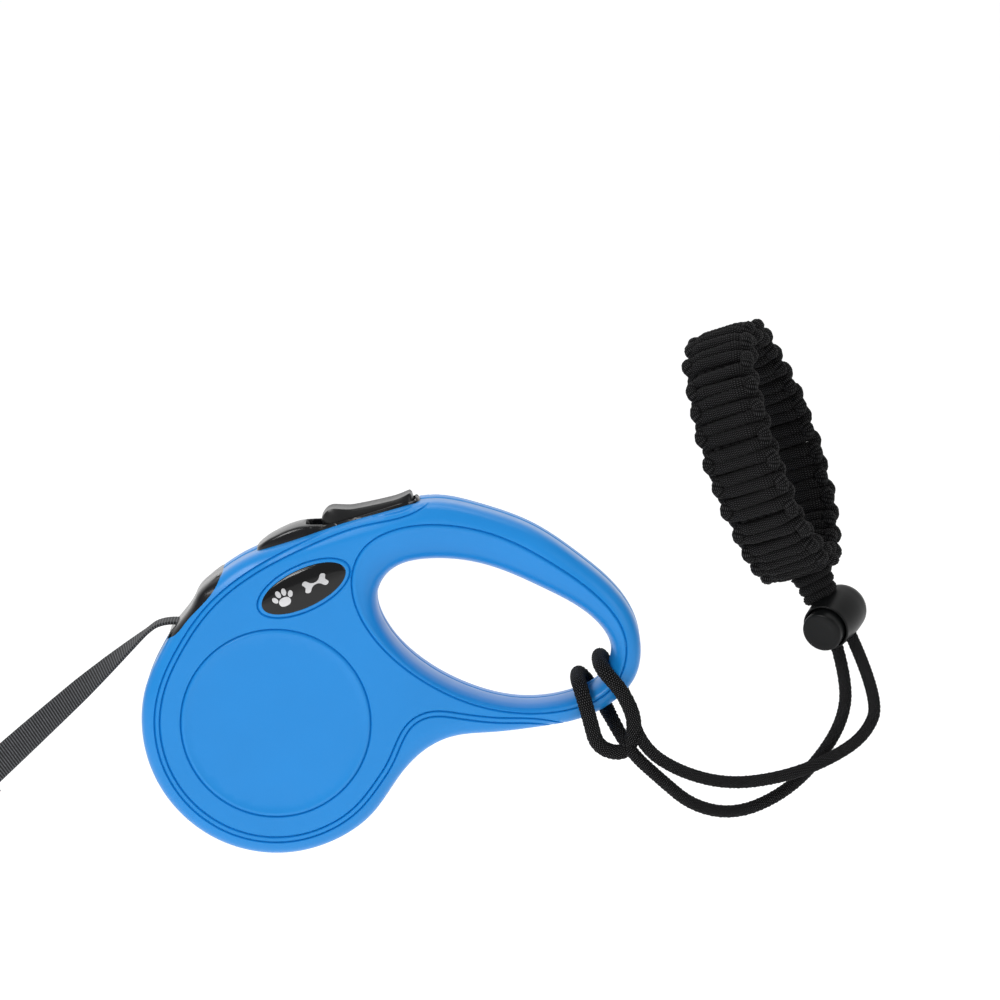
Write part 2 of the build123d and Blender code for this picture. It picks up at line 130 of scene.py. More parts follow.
# Route of the belt, and of the wrist cord from lock to lock.
BELT_ROUTE = [
    (2.5, 0.0, 27.6), (-27.5, 0.0, 30.9), (-36.2, 0.0, 31.4), (-42.2, 0.0, 28.27),
    (-94.65, 0.0, -19.6),
]
CORD_ROUTE = [
    (180.6, -2.8, 24.9), (184.6, -3.5, 11.5), (183.0, -4.5, -1.5), (174.5, -6.5, -14.5),
    (163.0, -9.0, -24.6), (148.5, -11.0, -30.4), (134.5, -12.5, -27.6), (123.5, -13.6, -18.0),
    (114.2, -14.0, -9.4), (108.0, -3.0, 0.2), (106.0, 14.6, 1.6), (98.0, 14.9, 12.3),
    (97.2, 0.0, 12.6), (98.0, -15.1, 12.1), (101.2, -15.6, 1.2), (103.6, -12.0, -8.6),
    (113.4, -10.6, -11.0), (116.2, -13.0, 0.0), (111.8, -15.3, 10.4), (104.9, -15.1, 17.9),
    (104.2, 0.0, 18.8), (104.9, 14.9, 17.9), (111.6, 14.7, 6.8), (113.4, -3.0, 4.4),
    (118.3, -15.4, -8.0), (130.5, -17.0, -15.6), (146.0, -17.2, -19.4), (163.0, -15.0, -17.6),
    (178.0, -11.0, -12.8), (190.5, -8.0, -5.2), (195.0, -5.5, 6.5), (185.4, -3.2, 27.3),
]


# ---- frames ----
def to_row(points):
    return (np.asarray(points, float) + REEL_AXIS) / MM


def from_row(points):
    return np.asarray(points, float) * MM - REEL_AXIS


def unit(vector):
    vector = np.asarray(vector, float)
    return vector / np.linalg.norm(vector)


def in_frame(origin, x_axis, z_axis):
    """A function that places local points; y follows from x and z."""
    z = unit(z_axis)
    x = np.asarray(x_axis, float)
    x = unit(x - z * (x @ z))
    turn = np.array([x, np.cross(z, x), z])
    return lambda points: np.asarray(points, float) @ turn + np.asarray(origin, float)


lid_slope = math.radians(LID["slope"])
lid_up = (-math.sin(lid_slope), 0, math.cos(lid_slope))
lid = in_frame(
    (LID["x"], 0, LID["z"]), (math.cos(lid_slope), 0, math.sin(lid_slope)), lid_up,
)


# ---- camera, light, floor ----
def make_camera():
    data = bpy.data.cameras.new("camera")
    data.sensor_width = 36.0
    data.lens = 223.2
    data.clip_end = 100.0
    camera = bpy.data.objects.new("camera", data)
    bpy.context.scene.collection.objects.link(camera)
    elevation, distance = math.radians(8.4), 2.0
    target = Vector((-0.0078, 0.0, 0.0156))
    camera.location = target + Vector((0, -math.cos(elevation), math.sin(elevation))) * distance
    camera.rotation_euler = (math.pi / 2 - elevation, 0, 0)
    bpy.context.scene.camera = camera


def area_light(name, place, size, power):
    """A rectangle of light that faces the housing."""
    data = bpy.data.lights.new(name, "AREA")
    data.shape = "RECTANGLE"
    data.size, data.size_y = size
    data.energy = power
    light = bpy.data.objects.new(name, data)
    light.location = place
    light.rotation_euler = (-Vector(place)).to_track_quat("-Z", "Y").to_euler()
    bpy.context.scene.collection.objects.link(light)


def make_stage():
    world = bpy.data.worlds.new("studio")
    bpy.context.scene.world = world
    world.use_nodes = True
    nodes, links = world.node_tree.nodes, world.node_tree.links
    coords = nodes.new("ShaderNodeTexCoord")
    split = nodes.new("ShaderNodeSeparateXYZ")
    links.new(coords.outputs["Generated"], split.inputs["Vector"])
    backdrop = ramp(nodes, links, split.outputs["Y"], (0.42,) * 3, (1.05,) * 3, 0.0, 0.45)
    links.new(backdrop, nodes["Background"].inputs["Color"])
    area_light("key", (-1.0, -1.1, 1.2), (0.7, 0.7), 15.3)
    area_light("fill", (1.2, -1.1, 0.5), (0.8, 0.8), 3)
    area_light("top", (0.1, 0.2, 1.4), (1.2, 0.5), 5)
    area_light("strip", (-0.62, -1.25, 0.72), (0.34, 0.10), 2.2)
    bpy.context.scene.view_settings.view_transform = "Standard"
    mesh = bpy.data.meshes.new("floor")
    reach, level = 30.0, -0.32
    corners = [(x * reach, y * reach, level) for x, y in ((-1, -1), (1, -1), (1, 1), (-1, 1))]
    mesh.from_pydata(corners, [], [(0, 1, 2, 3)])
    floor = bpy.data.objects.new("floor", mesh)
    bpy.context.scene.collection.objects.link(floor)
    paper, _, _, shader = new_material("floor_paper")
    shader.inputs["Base Color"].default_value = (0.9, 0.9, 0.9, 1)
    shader.inputs["Roughness"].default_value = 0.9
    shader.inputs["Emission Color"].default_value = (1, 1, 1, 1)
    shader.inputs["Emission Strength"].default_value = 0.42
    mesh.materials.append(paper)


# ---- curves in the plane ----
def smooth_curve(points, step, closed=True):
    """A cubic spline through the points, resampled at even steps."""
    p = np.array(points, float)
    n = len(p)
    following = np.roll(p, -1, axis=0) if closed else p[1:]
    chords = following - (p if closed else p[:-1])
    h = np.linalg.norm(chords, axis=1)
    slopes = chords / h[:, None]
    matrix, right = np.zeros((n, n)), np.zeros((n, p.shape[1]))
    for i in range(n):
        if not closed and i in (0, n - 1):
            matrix[i, i] = 1
            continue
        matrix[i, i - 1] += h[i - 1]
        matrix[i, i] += 2 * (h[i - 1] + h[i])
        matrix[i, (i + 1) % n] += h[i]
        right[i] = 6 * (slopes[i] - slopes[i - 1])
    bend = np.linalg.solve(matrix, right)
    dense = []
    t = np.linspace(0, 1, 24, endpoint=False)[:, None]
    for i in range(len(h)):
        j, a, b = (i + 1) % n, 1 - t, t
        dense.append(a * p[i] + b * p[j] + ((a**3 - a) * bend[i] + (b**3 - b) * bend[j]) * h[i]**2 / 6)
    dense = np.vstack(dense + [p[:1] if closed else p[-1:]])
    return resample(dense, step, closed)


def lengths_along(line):
    """How far along the line each of its points lies."""
    return np.concatenate([[0], np.cumsum(np.linalg.norm(np.diff(line, axis=0), axis=1))])


def resample(line, step, closed=False):
    lengths = lengths_along(line)
    count = max(2, int(round(lengths[-1] / step)))
    at = np.linspace(0, lengths[-1], count + 1)
    if closed:
        at = at[:-1]
    return np.column_stack([np.interp(at, lengths, line[:, k]) for k in range(line.shape[1])])


def soften(loop, passes):
    """Evens out the small bends of a closed loop."""
    for _ in range(passes):
        loop = (np.roll(loop, 1, axis=0) + 2 * loop + np.roll(loop, -1, axis=0)) / 4
    return loop


def right_normals(line, closed=True):
    """Unit vectors to the right of a line's way."""
    if closed:
        along = np.roll(line, -1, axis=0) - np.roll(line, 1, axis=0)
    else:
        along = np.gradient(line, axis=0)
    along /= np.linalg.norm(along, axis=1)[:, None]
    return np.column_stack([along[:, 1], -along[:, 0]])


def distance(points, line, closed=True):
    """From each point to the nearest place on a line."""
    starts = line if closed else line[:-1]
    ends = np.roll(line, -1, axis=0) if closed else line[1:]
    span = ends - starts
    square = (span**2).sum(1)
    nearest = np.full(len(points), np.inf)
    for low in range(0, len(points), 2000):
        chunk = points[low:low + 2000, None, :] - starts[None]
        share = np.clip((chunk * span).sum(2) / square, 0, 1)
        gap = np.linalg.norm(chunk - share[..., None] * span, axis=2)
        nearest[low:low + 2000] = gap.min(1)
    return nearest


def inside(points, loop):
    """Which points lie inside a closed loop."""
    x, y = points[:, 0, None], points[:, 1, None]
    a, b = loop, np.roll(loop, -1, axis=0)
    crosses = (a[:, 1] > y) != (b[:, 1] > y)
    rise = np.where(b[:, 1] == a[:, 1], 1e-12, b[:, 1] - a[:, 1])
    at = a[:, 0] + (y - a[:, 1]) * (b[:, 0] - a[:, 0]) / rise
    return (crosses & (x < at)).sum(1) % 2 == 1


def ellipse(x, y, a, b, tilt=0.0, count=64, power=2.0):
    """A closed oval; a power above 2 squares it off."""
    turn = np.linspace(0, 2 * math.pi, count, endpoint=False)
    c, s = np.cos(turn), np.sin(turn)
    u = a * np.sign(c) * np.abs(c)**(2 / power)
    v = b * np.sign(s) * np.abs(s)**(2 / power)
    c, s = math.cos(math.radians(tilt)), math.sin(math.radians(tilt))
    return np.column_stack([x + u * c - v * s, y + u * s + v * c])


# ---- meshes ----
def add_mesh(name, verts, faces, material=None, smooth_angle=EDGE_ANGLE):
    """An object drawn in millimetres, smooth but for edges sharper than an angle in degrees."""
    mesh = bpy.data.meshes.new(name)
    mesh.from_pydata(to_row(verts).tolist(), [], [tuple(int(i) for i in face) for face in faces])
    mesh.update()
    if material:
        mesh.materials.append(material)
    mesh.polygons.foreach_set("use_smooth", [True] * len(mesh.polygons))
    if smooth_angle < 180:
        mesh.set_sharp_from_angle(angle=math.radians(smooth_angle))
    obj = bpy.data.objects.new(name, mesh)
    bpy.context.scene.collection.objects.link(obj)
    return obj


def thin_out(kept, more, gap):
    """The points of the second set that are at least a gap away from the first."""
    tree = kdtree.KDTree(len(kept))
    for index, point in enumerate(kept):
        tree.insert((point[0], point[1], 0), index)
    tree.balance()
    return np.array([p for p in more if tree.find((p[0], p[1], 0))[2] >= gap]).reshape(-1, 2)


def triangulate(outer, holes, lines, rings, grid):
    """Triangles of a flat region: outer and holes are closed loops, lines are open or closed
    runs of points to follow, rings are loose points, grid is the spacing of the filling."""
    def within(points):
        keep = inside(points, outer)
        for hole in holes:
            keep &= ~inside(points, hole)
        return points[keep]

    edges, verts = [], []
    for loop in [outer] + list(holes):
        base = sum(len(v) for v in verts)
        verts.append(loop)
        edges += [(base + i, base + (i + 1) % len(loop)) for i in range(len(loop))]
    cloud = np.vstack(verts)
    for points, gap in [(line, 0.14) for line in lines] + [(ring, 0.3) for ring in rings]:
        points = within(points)
        if len(points):
            cloud = np.vstack([cloud, thin_out(cloud, points, gap)])
    low, high = outer.min(0), outer.max(0)
    filling = []
    for j, y in enumerate(np.arange(low[1], high[1], grid * 0.87)):
        for x in np.arange(low[0] + (j % 2) * grid / 2, high[0], grid):
            filling.append((x, y))
    filling = within(np.array(filling))
    if len(filling):
        cloud = np.vstack([cloud, thin_out(cloud, filling, grid * 0.6)])
    result = geometry.delaunay_2d_cdt([Vector(p) for p in cloud], edges, [], 0, 1e-5)
    flat = np.array([(v.x, v.y) for v in result[0]])
    triangles = np.array(result[2])
    centres = flat[triangles].mean(1)
    keep = inside(centres, outer)
    for hole in holes:
        keep &= ~inside(centres, hole)
    triangles = triangles[keep]
    used = np.unique(triangles)
    renumber = np.full(len(flat), -1)
    renumber[used] = np.arange(len(used))
    return flat[used], renumber[triangles]


def boundary(triangles):
    """The directed edges that only one triangle has."""
    seen = {}
    for a, b, c in triangles.tolist():
        for edge in ((a, b), (b, c), (c, a)):
            seen[edge] = True
    return [edge for edge in seen if (edge[1], edge[0]) not in seen]


def relief(flat, triangles, height, levels, cap=True, skip=None):
    """A surface raised from a flat region. Its boundary goes down through the levels, each a
    function of the height; cap closes it with the same triangles at the last level. skip says
    which wall faces to leave out: skip(level number, middle of the edge) is true for those."""
    a, b, c = (flat[triangles[:, k]] for k in range(3))
    area = (b[:, 0] - a[:, 0]) * (c[:, 1] - a[:, 1]) - (b[:, 1] - a[:, 1]) * (c[:, 0] - a[:, 0])
    triangles = np.where(area[:, None] > 0, triangles, triangles[:, ::-1])
    verts = [np.column_stack([flat, height])]
    faces = [tuple(t) for t in triangles.tolist()]
    edges = boundary(triangles)
    rim = sorted({v for edge in edges for v in edge})
    place = {v: i for i, v in enumerate(rim)}
    above = {v: v for v in rim}
    total = len(flat)
    for number, level in enumerate(levels):
        last = cap and number == len(levels) - 1
        if last:
            verts.append(np.column_stack([flat, level(height)]))
            below = {v: total + v for v in rim}
        else:
            verts.append(np.column_stack([flat[rim], level(height[rim])]))
            below = {v: total + place[v] for v in rim}
        for p, q in edges:
            if skip is None or not skip(number, (flat[p] + flat[q]) / 2):
                faces.append((above[q], above[p], below[p], below[q]))
        if last:
            faces += [tuple(total + v for v in t[::-1]) for t in triangles.tolist()]
        total += len(verts[-1])
        above = below
    return np.vstack(verts), faces


def drop_loose(verts, faces):
    """The mesh without the vertices that no face uses."""
    used = np.unique(np.concatenate([np.array(f) for f in faces]))
    renumber = np.full(len(verts), -1)
    renumber[used] = np.arange(len(used))
    return verts[used], [tuple(int(renumber[i]) for i in f) for f in faces]


def swept_faces(count, around):
    """Faces of a closed sweep: count sections of around points each."""
    faces = []
    for i in range(count - 1):
        for j in range(around):
            k = (j + 1) % around
            faces.append((i * around + j, i * around + k, (i + 1) * around + k, (i + 1) * around + j))
    faces.append(tuple(range(around - 1, -1, -1)))
    faces.append(tuple(range((count - 1) * around, count * around)))
    return faces


def tube(path, radii, around, wave=None):
    """A round tube along a path. wave(along, turn) adds to the radius; returns the mesh and,
    for each vertex, how far along it lies and its turn."""
    path = np.asarray(path, float)
    count = len(path)
    along = np.gradient(path, axis=0)
    along /= np.linalg.norm(along, axis=1)[:, None]
    side = np.cross(along[0], (0, 0, 1) if abs(along[0][2]) < 0.9 else (1, 0, 0))
    sides = []
    for i in range(count):
        side = side - along[i] * (side @ along[i])
        side = side / np.linalg.norm(side)
        sides.append(side)
    sides = np.array(sides)
    ups = np.cross(along, sides)
    radii = np.broadcast_to(radii, (count,))
    lengths = lengths_along(path)
    turn = np.linspace(0, 2 * math.pi, around, endpoint=False)
    radius = np.repeat(radii[:, None], around, axis=1).astype(float)
    if wave is not None:
        radius = radius + wave(lengths[:, None], turn[None, :])
    offset = (np.cos(turn)[None, :, None] * sides[:, None] + np.sin(turn)[None, :, None] * ups[:, None])
    offset = offset * radius[..., None]
    verts = (path[:, None] + offset).reshape(-1, 3)
    strand = np.column_stack([np.repeat(lengths, around), np.tile(turn, count)])
    return verts, swept_faces(count, around), strand


def lathe(profile, around=64):
    """A closed solid turned about local z from (radius, z) points that start and end on it."""
    verts, faces, rows = [], [], []
    for radius, z in profile:
        if radius < 1e-6:
            rows.append([len(verts)] * around)
            verts.append((0, 0, z))
            continue
        rows.append(list(range(len(verts), len(verts) + around)))
        for j in range(around):
            t = 2 * math.pi * j / around
            verts.append((radius * math.cos(t), radius * math.sin(t), z))
    for low, high in zip(rows, rows[1:]):
        for j in range(around):
            k = (j + 1) % around
            ring = [low[j], low[k], high[k], high[j]]
            ring = [v for i, v in enumerate(ring) if v not in ring[:i]]
            if len(ring) > 2:
                faces.append(tuple(ring))
    return np.array(verts), faces


def join(*parts):
    """One mesh out of several (verts, faces)."""
    verts, faces, base = [], [], 0
    for v, f in parts:
        verts.append(np.asarray(v, float))
        faces += [tuple(i + base for i in face) for face in f]
        base += len(v)
    return np.vstack(verts), faces


def store_strand(obj, strand):
    """Keeps how far along and round a cord each vertex lies, for its weave."""
    attribute = obj.data.attributes.new("strand", "FLOAT_VECTOR", "POINT")
    values = np.column_stack([strand, np.zeros(len(strand))]).astype(np.float32)
    attribute.data.foreach_set("vector", values.ravel())


def add_cords(name, tubes, material, node):
    """One piece out of several tubes."""
    verts, faces = join(*[part[:2] for part in tubes])
    obj = add_mesh(name, verts, faces, material, 180)
    store_strand(obj, np.vstack([part[2] for part in tubes]))
    return own(obj, "housing", "cord_black", node)


def spline_points(name, route, per_span):
    """The smooth line that a route's points guide, read from its own spline."""
    data = bpy.data.curves.new(name, "CURVE")
    data.dimensions = "3D"
    spline = data.splines.new("NURBS")
    spline.points.add(len(route) - 1)
    for point, place in zip(spline.points, to_row(route)):
        point.co = (*place, 1)
    spline.order_u = 3
    spline.use_endpoint_u = True
    spline.resolution_u = per_span
    obj = bpy.data.objects.new(name, data)
    bpy.context.scene.collection.objects.link(obj)
    mesh = bpy.data.meshes.new_from_object(obj)
    points = np.array([v.co[:] for v in mesh.vertices])
    bpy.data.meshes.remove(mesh)
    bpy.data.objects.remove(obj)
    bpy.data.curves.remove(data)
    return from_row(points)


# ---- materials ----
def new_material(name):
    material = bpy.data.materials.new(name)
    material.use_nodes = True
    nodes = material.node_tree.nodes
    return material, nodes, material.node_tree.links, nodes["Principled BSDF"]


def noise(nodes, links, scale, detail):
    coords = nodes.new("ShaderNodeTexCoord")
    texture = nodes.new("ShaderNodeTexNoise")
    texture.inputs["Scale"].default_value = scale
    texture.inputs["Detail"].default_value = detail
    links.new(coords.outputs["Object"], texture.inputs["Vector"])
    return texture.outputs["Fac"]


def ramp(nodes, links, value, low, high, start=0.3, end=0.7):
    """A colour that goes from low to high between two values."""
    node = nodes.new("ShaderNodeValToRGB")
    for stop, place, colour in zip(node.color_ramp.elements, (start, end), (low, high)):
        stop.position = place
        stop.color = (*colour, 1)
    links.new(value, node.inputs["Fac"])
    return node.outputs["Color"]


def between(nodes, links, value, low, high):
    """A number that goes from low to high as a value goes from 0 to 1."""
    node = nodes.new("ShaderNodeMapRange")
    node.inputs["To Min"].default_value = low
    node.inputs["To Max"].default_value = high
    links.new(value, node.inputs["Value"])
    return node.outputs["Result"]


def bump(nodes, links, shader, height, strength, depth):
    node = nodes.new("ShaderNodeBump")
    node.inputs["Strength"].default_value = strength
    node.inputs["Distance"].default_value = depth
    links.new(height, node.inputs["Height"])
    links.new(node.outputs["Normal"], shader.inputs["Normal"])


def maths(nodes, links, operation, *values):
    """A maths node on numbers and other nodes' outputs."""
    node = nodes.new("ShaderNodeMath")
    node.operation = operation
    for socket, value in zip(node.inputs, values):
        if isinstance(value, (int, float)):
            socket.default_value = value
        else:
            links.new(value, socket)
    return node.outputs["Value"]


def moulded(name, colour, rough, specular, grain=2200.0, depth=0.00002, mottle=0.06):
    """Injection-moulded plastic: fine grain, slight mottling and handling marks."""
    material, nodes, links, shader = new_material(name)
    patches = noise(nodes, links, 45.0, 5.0)
    darker = tuple(c * (1 - mottle) for c in colour)
    lighter = tuple(min(1.0, c * (1 + mottle)) for c in colour)
    links.new(ramp(nodes, links, patches, darker, lighter), shader.inputs["Base Color"])
    wear = noise(nodes, links, 160.0, 6.0)
    links.new(between(nodes, links, wear, rough - 0.05, rough + 0.07), shader.inputs["Roughness"])
    bump(nodes, links, shader, noise(nodes, links, grain, 2.0), 0.35, depth)
    shader.inputs["Specular IOR Level"].default_value = specular
    return material


def metal(name, colour, rough, brushed=0.0):
    """Bare metal with faint patches and a fine surface."""
    material, nodes, links, shader = new_material(name)
    shader.inputs["Metallic"].default_value = 1.0
    patches = noise(nodes, links, 120.0, 6.0)
    darker = tuple(c * 0.88 for c in colour)
    links.new(ramp(nodes, links, patches, darker, colour), shader.inputs["Base Color"])
    wear = noise(nodes, links, 420.0, 8.0)
    links.new(between(nodes, links, wear, rough * 0.7, rough * 1.5), shader.inputs["Roughness"])
    lines = noise(nodes, links, 2600.0 if brushed else 900.0, 2.0)
    bump(nodes, links, shader, lines, 0.1 + brushed, 0.00001)
    return material


def read_strand(nodes, links):
    """A strand attribute's parts: x is millimetres along, y the turn round a cord in radians."""
    strand = nodes.new("ShaderNodeAttribute")
    strand.attribute_name = "strand"
    split = nodes.new("ShaderNodeSeparateXYZ")
    links.new(strand.outputs["Vector"], split.inputs["Vector"])
    return split.outputs


def woven(name, dark, light, start, stop):
    """Braided cord with painted light: painted shade where the weave is lower than start, a painted highlight on
    the picks where it is over stop.
    """
    material, nodes, links, shader = new_material(name)
    strand = read_strand(nodes, links)

    def calc(operation, *values):
        return maths(nodes, links, operation, *values)

    lengthwise = calc("MULTIPLY", strand["X"], 2 * math.pi / BRAID_PITCH)
    crosswise = calc("MULTIPLY", strand["Y"], 2.0 * BRAID_STRANDS)
    first = calc("ABSOLUTE", calc("SINE", calc("ADD", lengthwise, crosswise)))
    second = calc("ABSOLUTE", calc("SINE", calc("SUBTRACT", lengthwise, crosswise)))
    weave = calc("MULTIPLY", first, second)
    fuzz = noise(nodes, links, 3500.0, 3.0)
    mixed = calc("ADD", calc("MULTIPLY", weave, 0.8), calc("MULTIPLY", fuzz, 0.35))
    # painted light: the dark colour is painted shade between the picks, the light colour a painted highlight on
    # their tops
    links.new(ramp(nodes, links, mixed, dark, light, start, stop), shader.inputs["Base Color"])
    shader.inputs["Roughness"].default_value = 0.78
    shader.inputs["Specular IOR Level"].default_value = 0.05
    shader.inputs["Sheen Weight"].default_value = 0.02
    shader.inputs["Sheen Roughness"].default_value = 0.45
    bump(nodes, links, shader, mixed, 0.8, 0.00012)
    return material


def ribbed(name, dark, light):
    """Webbing with cross ribs, with a painted highlight along their tops and painted shade between them."""
    material, nodes, links, shader = new_material(name)
    along = read_strand(nodes, links)["X"]
    turns = maths(nodes, links, "MULTIPLY", along, 2 * math.pi / RIB_PITCH)
    wave = maths(nodes, links, "COSINE", turns)
    fuzz = noise(nodes, links, 4200.0, 3.0)
    mixed = maths(nodes, links, "MULTIPLY_ADD", wave, 0.34, fuzz)
    # painted light: light colour is a painted highlight on the rib tops, dark colour painted shade in the troughs
    links.new(ramp(nodes, links, mixed, dark, light, 0.46, 0.92), shader.inputs["Base Color"])
    shader.inputs["Roughness"].default_value = 0.62
    shader.inputs["Specular IOR Level"].default_value = 0.3
    return material


def make_materials():
    """Each material under its name, without the number Blender may have added to it."""
    made = [
        moulded("blue_shell", (0.008, 0.212, 0.585), 0.30, 0.32, mottle=0.02),
        moulded("black_gloss", (0.004, 0.004, 0.005), 0.20, 0.35, 900, 0.000005),
        moulded("black_matte", (0.004, 0.0043, 0.0045), 0.36, 0.14, 3000, 0.00003),
        moulded("button_soft", (0.005, 0.005, 0.0055), 0.30, 0.35, 2600),
        moulded("inner_plastic", (0.52, 0.53, 0.54), 0.45, 0.5),
        moulded("emblem", (0.0022, 0.0022, 0.0025), 0.10, 0.35, 600, 0.000002),
        metal("emblem_print", (0.62, 0.62, 0.63), 0.4),
        metal("screw_steel", (0.55, 0.55, 0.56), 0.32, 0.2),
        metal("pin_steel", (0.6, 0.6, 0.61), 0.22),
        metal("spring_steel", (0.36, 0.38, 0.42), 0.3, 0.1),
        metal("hook_chrome", (0.46, 0.46, 0.48), 0.24),
        # belt_web: the light colour is a painted highlight along the ribs' tops, the dark colour painted shade
        # between them
        ribbed("belt_web", (0.0030, 0.0032, 0.0036), (0.110, 0.115, 0.125)),
        # cord_black and strap_black: the light colour is a painted highlight on the braid's picks, the dark colour
        # painted shade between them
        woven("cord_black", (0.0006, 0.0006, 0.0007), (0.056, 0.056, 0.058), 0.55, 1.05),
        woven("strap_black", (0.0003, 0.0003, 0.0004), (0.092, 0.092, 0.095), 0.66, 1.06),
    ]
    return {material.name.split(".")[0]: material for material in made}


def finish_cad_nodes(materials):
    """The CAD nodes that stay get their slot's material."""
    slots = {part["node"]: part["material_slot"] for part in frame["record"]["subparts"]}
    for node, obj in frame["nodes"].items():
        obj.data.materials.clear()
        obj.data.materials.append(materials[slots[node]])


def own(obj, body, slot, *nodes):
    """Rides a finished piece on its body and lets it stand for CAD nodes."""
    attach(obj, body)
    if nodes:
        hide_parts(*nodes)
    return obj


# ---- housing ----
outline = soften(smooth_curve(OUTLINE, 0.9), 20)
grip_hole = soften(smooth_curve(GRIP_HOLE, 0.8), 12)
grip_groove = soften(smooth_curve(GRIP_GROOVE, 0.7), 16)
side_groove = smooth_curve(SIDE_GROOVE_TOP + SIDE_GROOVE_ROUND + SIDE_GROOVE_LOW, 0.5, closed=False)
disc_groove = ellipse(0, 0, DISC_R, DISC_R, count=270)
badge_edge = ellipse(BADGE["x"], BADGE["z"], BADGE["a"], BADGE["b"], BADGE["tilt"], 130)
badge_groove = ellipse(BADGE["x"], BADGE["z"], BADGE["a"] + 1.0, BADGE["b"] + 1.0, BADGE["tilt"], 130)
seam = smooth_curve(NOZZLE_SEAM, 0.7, closed=False)
for end in (0, -1):
    seam[end] = outline[np.linalg.norm(outline - seam[end], axis=1).argmin()]
nozzle_lip = smooth_curve(NOZZLE_LIP, 0.6, closed=False)
nozzle_lip[0], nozzle_lip[-1] = seam[0], seam[-1]


def half_thickness(x):
    t = np.clip((x - 30.0) / 50.0, 0, 1)
    return BODY_HALF - (BODY_HALF - GRIP_HALF) * t * t * (3 - 2 * t)


def side_height(points, to_edge=None):
    """How far the housing's side stands from the middle plane."""
    if to_edge is None:
        to_edge = distance(points, outline)
    share = np.clip(1 - to_edge / RIM, 0, 1)
    drop = RIM * (1 - np.sqrt(1 - share**2))
    to_groove, to_hole = distance(points, grip_groove), distance(points, grip_hole)
    share = np.where(inside(points, grip_groove), to_groove / (to_groove + to_hole + 1e-9), 0)
    drop += ROLL_DEPTH * (1 - np.sqrt(np.clip(1 - share**2.0, 0, 1)))
    for line in (disc_groove, grip_groove, badge_groove):
        away = distance(points, line)
        bead = np.sqrt(np.clip(1 - ((away - BEAD_AT) / BEAD_W)**2, 0, 1))
        drop += GROOVE_DEPTH * np.clip(1 - away / GROOVE_W, 0, 1) - BEAD_H * bead * inside(points, line)
    across = np.abs(distance(points, side_groove, False) - SIDE_LINE_GAP)
    drop += GROOVE_DEPTH * np.clip(1 - across / GROOVE_W, 0, 1)
    return half_thickness(points[:, 0]) - drop


def shell_region():
    """The housing's outline without the nozzle's corner."""
    wedge = np.vstack([seam, [(-25, 56), (-46, 40), (-44, 26)]])
    out = inside(outline, wedge) | (distance(outline, seam, False) < 0.5)
    start = np.flatnonzero(out & ~np.roll(out, 1))[0]
    rolled, out = np.roll(outline, -start, axis=0), np.roll(out, -start)
    stop = np.flatnonzero(~out)[0]
    return np.vstack([seam, rolled[stop:]])


def ring_points():
    """Rings that follow the rounded edges closely enough to show them smooth."""
    rings = []
    normals = right_normals(outline)
    for angle in range(10, 91, 10):
        rings.append(outline + normals * RIM * (1 - math.cos(math.radians(angle))))
    normals = right_normals(grip_hole)
    width = distance(grip_hole, grip_groove)
    for angle in range(10, 81, 10):
        reach = width * (1 - math.cos(math.radians(angle)))
        rings.append(grip_hole + normals * reach[:, None])
    return rings


def groove_points():
    lines = []
    for line in (disc_groove, grip_groove, badge_groove):
        normals = right_normals(line)
        inward = 1 if inside(line + normals * 0.2, line).mean() > 0.5 else -1
        shifts = (0, GROOVE_W, -GROOVE_W, 0.55, 0.95, 1.35, 1.65)
        lines += [line + normals * shift * inward for shift in shifts]
    normals = right_normals(side_groove, False)
    for place in (SIDE_LINE_GAP, -SIDE_LINE_GAP):
        lines += [side_groove + normals * (place + shift) for shift in (0, GROOVE_W, -GROOVE_W)]
    return lines


def in_button_window(number, middle):
    """Wall faces under the brake button, and where the belt comes through."""
    x, z = middle[0] - LID["x"], middle[1] - LID["z"]
    along = x * math.cos(lid_slope) + z * math.sin(lid_slope)
    out = -x * math.sin(lid_slope) + z * math.cos(lid_slope)
    if number >= 1 and -20.4 < along < 15.9 and abs(out) < 2.5:
        return True
    return number >= 2 and distance(middle[None], seam, False)[0] < 0.3 and 28.6 < middle[1] < 32.9


def make_shells(materials):
    region = shell_region()
    rings, lines = ring_points(), groove_points()
    for side, name in ((-1, "left"), (1, "right")):
        holes = [grip_hole]
        if side > 0:
            holes += [ellipse(x, z, SCREW_HOLE_R, SCREW_HOLE_R, count=28) for x, z in SCREW_SPOTS]
        flat, triangles = triangulate(region, holes, lines, rings, 2.2)
        levels = [
            lambda h: np.minimum(7.0, 0.8 * h), lambda h: np.minimum(5.8, 0.5 * h),
            lambda h: np.full_like(h, PARTING),
        ]
        verts, faces = drop_loose(
            *relief(flat, triangles, side_height(flat), levels, cap=False, skip=in_button_window)
        )
        obj = add_mesh(f"{name}_shell", *upright(verts, faces, side), materials["blue_shell"], 180)
        thicken = obj.modifiers.new("wall", "SOLIDIFY")
        thicken.thickness = SHELL_WALL / MM
        thicken.offset = -1.0
        obj.data.set_sharp_from_angle(angle=math.radians(GROOVE_ANGLE))
        own(obj, "housing", "blue_shell", f"{name}_housing")


def upright(verts, faces, side):
    """Turns a relief drawn flat to stand on the left (-1) or the right (1) side."""
    if side > 0:
        faces = [face[::-1] for face in faces]
    return np.column_stack([verts[:, 0], side * verts[:, 2], verts[:, 1]]), faces


